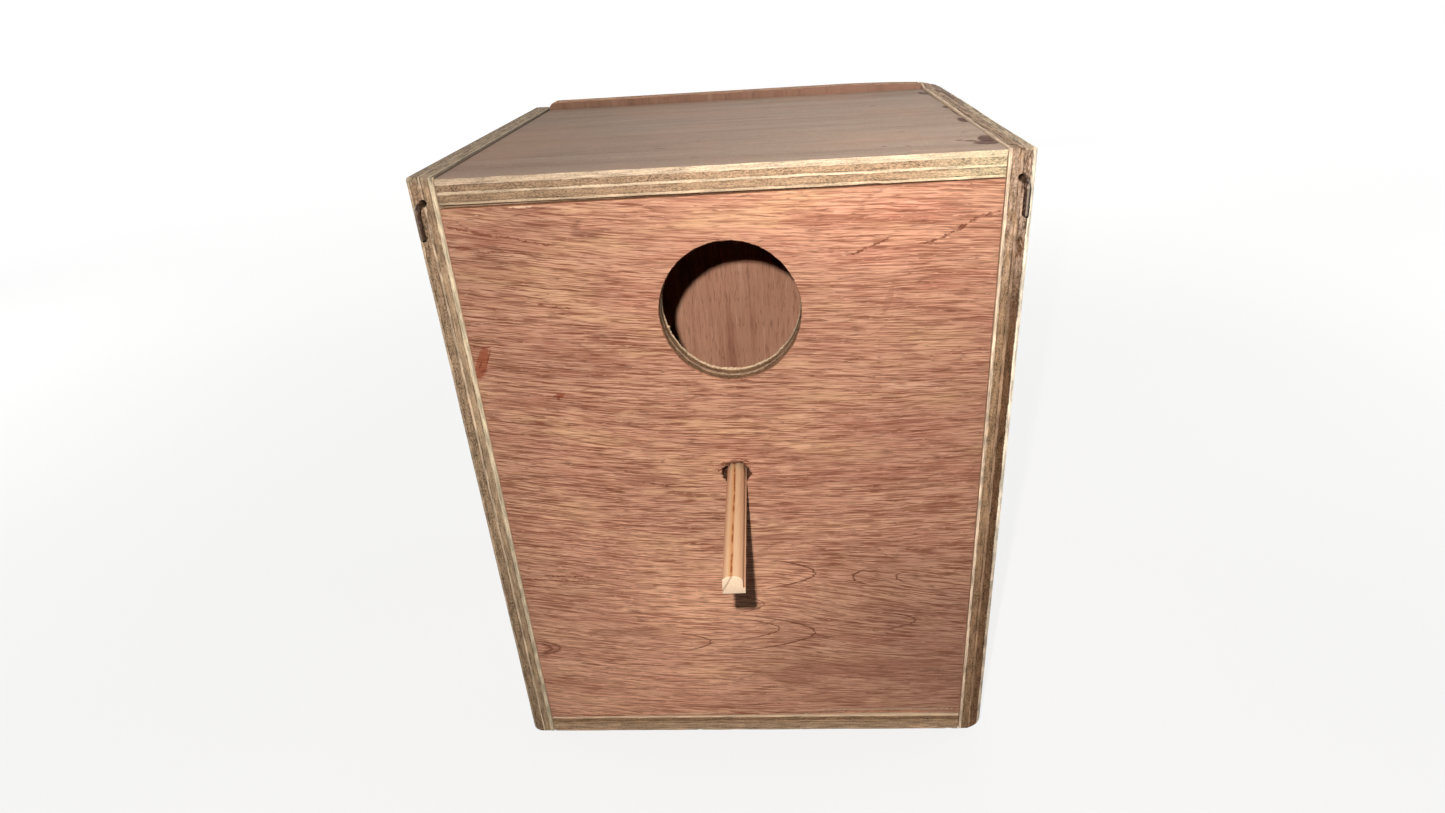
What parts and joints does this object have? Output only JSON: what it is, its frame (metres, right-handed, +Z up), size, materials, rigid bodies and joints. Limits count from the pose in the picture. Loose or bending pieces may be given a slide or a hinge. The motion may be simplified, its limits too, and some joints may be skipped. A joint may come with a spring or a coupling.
{
  "type": "parakeet nest box",
  "caption": "Upright plywood nest box for small parrots, with a lift-up roof, a round entrance hole, a short perch, a dished nest block and wire hooks that hang it on a cage.",
  "frame": {"origin": "middle of the box's underside, halfway between its sides and halfway between its front and back faces", "axes": "+Z up, -Y out of the front with the entrance hole and perch, +X to the viewer's right when facing the front"},
  "size_m": [0.2, 0.2187, 0.258],
  "materials": {
    "face_veneer": "raw reddish veneer, matt",
    "side_ply": "raw plywood, matt",
    "weathered_ply": "greyed plywood, matt",
    "block_wood": "raw softwood, matt",
    "perch_wood": "planed pale wood, satin",
    "dark_wire": "dark annealed wire, satin",
    "nail_steel": "bright nail steel"
  },
  "bodies": {
    "box": {"left_side_panel": "side_ply", "right_side_panel": "side_ply", "floor_panel": "side_ply", "front_panel": "face_veneer", "back_panel": "face_veneer", "nest_block": "block_wood", "perch": "perch_wood", "left_hook": "dark_wire", "right_hook": "dark_wire", "left_lid_pivot_nail": "nail_steel", "right_lid_pivot_nail": "nail_steel", "left_front_nail_1": "nail_steel", "left_front_nail_2": "nail_steel", "left_front_nail_3": "nail_steel", "left_back_nail_1": "nail_steel", "left_back_nail_2": "nail_steel", "left_back_nail_3": "nail_steel", "left_floor_nail_1": "nail_steel", "left_floor_nail_2": "nail_steel", "right_front_nail_1": "nail_steel", "right_front_nail_2": "nail_steel", "right_front_nail_3": "nail_steel", "right_back_nail_1": "nail_steel", "right_back_nail_2": "nail_steel", "right_back_nail_3": "nail_steel", "right_floor_nail_1": "nail_steel", "right_floor_nail_2": "nail_steel"},
    "lid": {"roof_lid": "weathered_ply"}
  },
  "joints": [
    {"name": "lid_hinge", "type": "hinge", "parent": "box", "child": "lid", "pos_m": [0, 0.06, 0.25035], "axis": [-1, 0, 0], "range_deg": [0, 120]}
  ]
}
